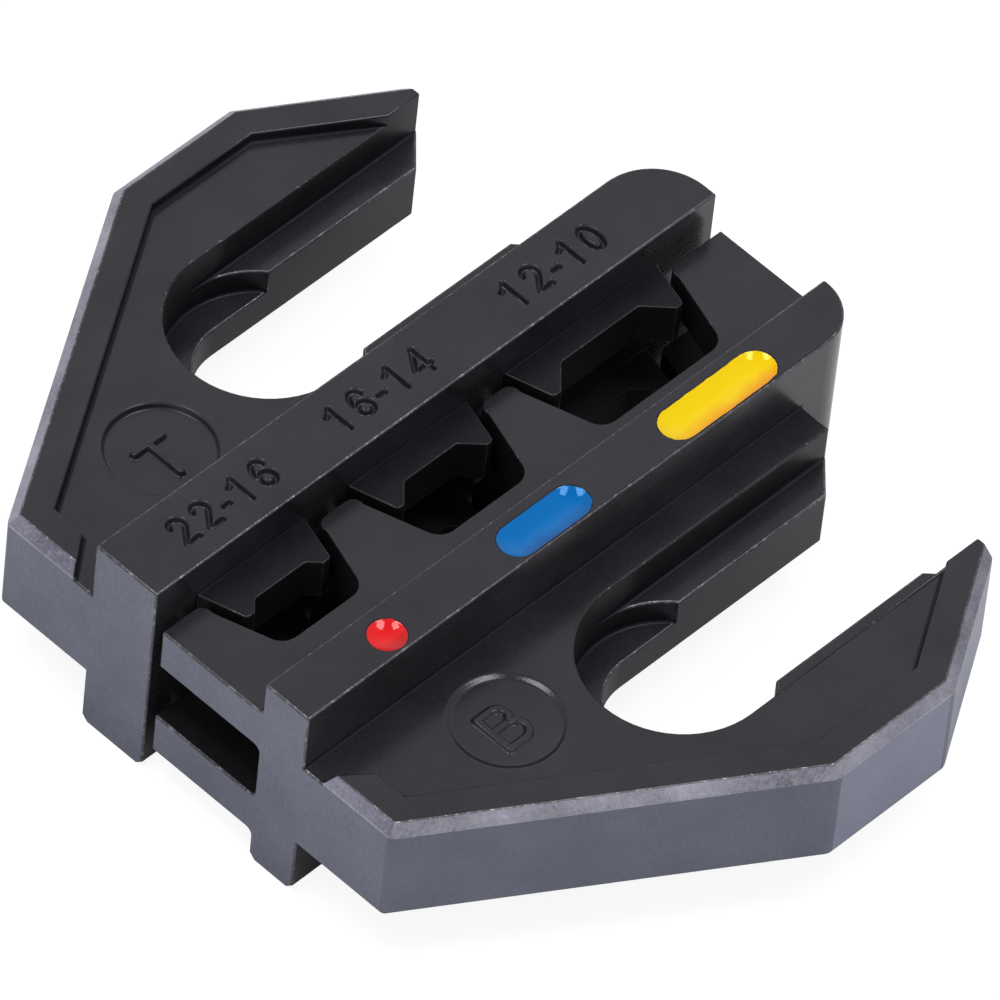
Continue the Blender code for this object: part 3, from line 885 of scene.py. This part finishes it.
class DIESET_OT_enamel(bpy.types.Operator):
    """Build the three enamel fills in the bottom die's rib"""

    bl_idname = "dieset.enamel"
    bl_label = "Enamel Fills"

    def execute(self, context):
        """Make each fill with its own colour."""
        settings = context.scene.die_enamel
        finishes = {
            "red_mark": enamel_material("red_stove_enamel", "#d4141a", "#a00416", "#ffd0c8"),
            "blue_mark": enamel_material("blue_stove_enamel", "#0062a8", "#004c8c", "#90c8ff"),
            "yellow_mark": enamel_material("yellow_stove_enamel", "#e2c100", "#e09400", "#fff0a0"),
        }
        for node, (centre, length, width) in MARKS.items():
            fill = enamel_fill(node + "_fill", centre, length, width, settings.sag, finishes[node])
            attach(fill, "fixed_die")
            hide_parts(node)
        return {"FINISHED"}


class DIESET_OT_stage(bpy.types.Operator):
    """Set the floor, the soft light and the camera"""

    bl_idname = "dieset.stage"
    bl_label = "Stage"

    def execute(self, context):
        """Build the stage round the die set."""
        settings = context.scene.die_stage
        build_floor()
        build_sky(settings.sky)
        build_softboxes(settings.softbox)
        build_camera(settings.lens)
        context.scene.view_settings.view_transform = "Standard"
        return {"FINISHED"}


def build_floor():
    """A plain white sweep of paper under the dies."""
    shape = bmesh.new()
    shape.faces.new([shape.verts.new((x * FLOOR_HALF, y * FLOOR_HALF, 0.0)) for x, y in
                     ((-1, -1), (1, -1), (1, 1), (-1, 1))])
    material = new_material("white_backing_paper")
    tree = material.node_tree
    place = add_node(tree, "ShaderNodeTexCoord").outputs["Object"]
    fibre = add_node(tree, "ShaderNodeTexNoise", {"Scale": 1 / (FIBRE_SIZE * MM), "Detail": 2.0},
                     {"Vector": place})
    tint = ramp(tree, fibre.outputs["Fac"],
                [(stop, grey(tone)) for stop, tone in zip(FIBRE_STOPS, PAPER_TONES)])
    paper = add_node(tree, "ShaderNodeBsdfPrincipled", {"Roughness": 0.9, "Specular IOR Level": 0.1},
                     {"Base Color": tint.outputs["Color"]})
    white = add_node(tree, "ShaderNodeEmission",
                     {"Color": (1.0, 1.0, 1.0, 1.0), "Strength": WHITE_STRENGTH})
    path = add_node(tree, "ShaderNodeLightPath")
    seen = add_node(tree, "ShaderNodeMath", {"operation": "MULTIPLY", 1: WHITE_SHARE},
                    {0: path.outputs["Is Camera Ray"]})
    shader = add_node(tree, "ShaderNodeMixShader", None,
                      {0: seen.outputs[0], 1: paper.outputs[0], 2: white.outputs[0]})
    finish_material(material, shader)
    floor = object_from(shape, "floor", [material])
    if floor.data.polygons[0].normal.z < 0:
        floor.data.flip_normals()


def build_sky(strength):
    """White surroundings: plain white to the camera, and a shaded tent to light and reflections."""
    world = bpy.data.worlds.new("white_tent")
    world.use_nodes = True
    tree = world.node_tree
    tree.nodes.clear()
    toward = add_node(tree, "ShaderNodeTexCoord").outputs["Generated"]
    height = add_node(tree, "ShaderNodeSeparateXYZ", links={"Vector": toward}).outputs["Z"]
    tent = ramp(tree, height, [(level, grey(tone)) for level, tone in TENT_TONES])
    side = add_node(tree, "ShaderNodeVectorMath", {"operation": "DOT_PRODUCT", 1: DARK_SIDE},
                    {0: toward})
    share = add_node(tree, "ShaderNodeMapRange", {"From Min": DARK_START, "To Max": DARK_REACH},
                     {"Value": side.outputs["Value"]})
    gap = ramp(tree, share.outputs[0], [(0.0, grey(1.0)), (1.0, grey(DARK_TONE))])
    shade = add_node(tree, "ShaderNodeMix", {"data_type": "RGBA", "blend_type": "MULTIPLY", 0: 1.0},
                     {6: tent.outputs["Color"], 7: gap.outputs["Color"]})
    path = add_node(tree, "ShaderNodeLightPath")
    light = add_node(tree, "ShaderNodeBackground", {"Strength": strength},
                     {"Color": shade.outputs[2]})
    seen = add_node(tree, "ShaderNodeBackground",
                    {"Color": (1.0, 1.0, 1.0, 1.0), "Strength": 1.0})
    mix = add_node(tree, "ShaderNodeMixShader", None,
                   {0: path.outputs["Is Camera Ray"], 1: light.outputs[0], 2: seen.outputs[0]})
    add_node(tree, "ShaderNodeOutputWorld", links={"Surface": mix.outputs[0]})
    bpy.context.scene.world = world


def aim(thing, place, target):
    """Put a lamp at a place and turn it to a target."""
    thing.location = place
    thing.rotation_euler = (Vector(target) - Vector(place)).to_track_quat("-Z", "Y").to_euler()


def build_softboxes(power):
    """Two overhead softboxes, which show side by side in the enamel, and a weak one behind."""
    for name, (share, size, (right, away, up)) in LAMPS.items():
        lamp = bpy.data.lights.new(name, "AREA")
        lamp.shape = "RECTANGLE"
        lamp.size, lamp.size_y = size
        lamp.energy = share * power
        box = bpy.data.objects.new(name, lamp)
        bpy.context.scene.collection.objects.link(box)
        aim(box, right * PICTURE_RIGHT + away * PICTURE_AWAY + up * UP, LAMP_TARGET)


def build_camera(lens):
    """The photograph's view: a long lens, looking down at the set from its near left."""
    camera = bpy.data.cameras.new("camera")
    camera.sensor_width = 36
    camera.lens = lens
    camera.clip_start = 0.01
    camera.clip_end = 20
    holder = bpy.data.objects.new("camera", camera)
    bpy.context.scene.collection.objects.link(holder)
    holder.location = Vector(CAMERA_PLACE) * MM
    holder.rotation_euler = CAMERA_TURN
    bpy.context.scene.camera = holder


class DIESET_PT_panel(bpy.types.Panel):
    """Lists the steps of the die set"""

    bl_idname = "DIESET_PT_panel"
    bl_label = "Crimping Die Set"
    bl_space_type = "VIEW_3D"
    bl_region_type = "UI"
    bl_category = "Die Set"

    def draw(self, context):
        """Show the settings and a button for each step."""
        scene = context.scene
        for group, steps in ((scene.die_finish, ("dieset.top_die", "dieset.bottom_die")),
                             (scene.die_enamel, ("dieset.enamel",)),
                             (scene.die_stage, ("dieset.stage",))):
            box = self.layout.box()
            for name in group.__annotations__:
                box.prop(group, name)
            for step in steps:
                box.operator(step)


CLASSES = (
    DieFinishSettings,
    EnamelSettings,
    StageSettings,
    DIESET_OT_top_die,
    DIESET_OT_bottom_die,
    DIESET_OT_enamel,
    DIESET_OT_stage,
    DIESET_PT_panel,
)


def register():
    """Register the classes and hang their settings on the scene."""
    for item in CLASSES:
        bpy.utils.register_class(item)
    bpy.types.Scene.die_finish = PointerProperty(type=DieFinishSettings)
    bpy.types.Scene.die_enamel = PointerProperty(type=EnamelSettings)
    bpy.types.Scene.die_stage = PointerProperty(type=StageSettings)


def unregister():
    """Take the settings and the classes away again."""
    for name in ("die_finish", "die_enamel", "die_stage"):
        delattr(bpy.types.Scene, name)
    for item in reversed(CLASSES):
        bpy.utils.unregister_class(item)


def main():
    register()
    bpy.ops.dieset.top_die()
    bpy.ops.dieset.bottom_die()
    bpy.ops.dieset.enamel()
    bpy.ops.dieset.stage()


if __name__ == "__main__":
    main()
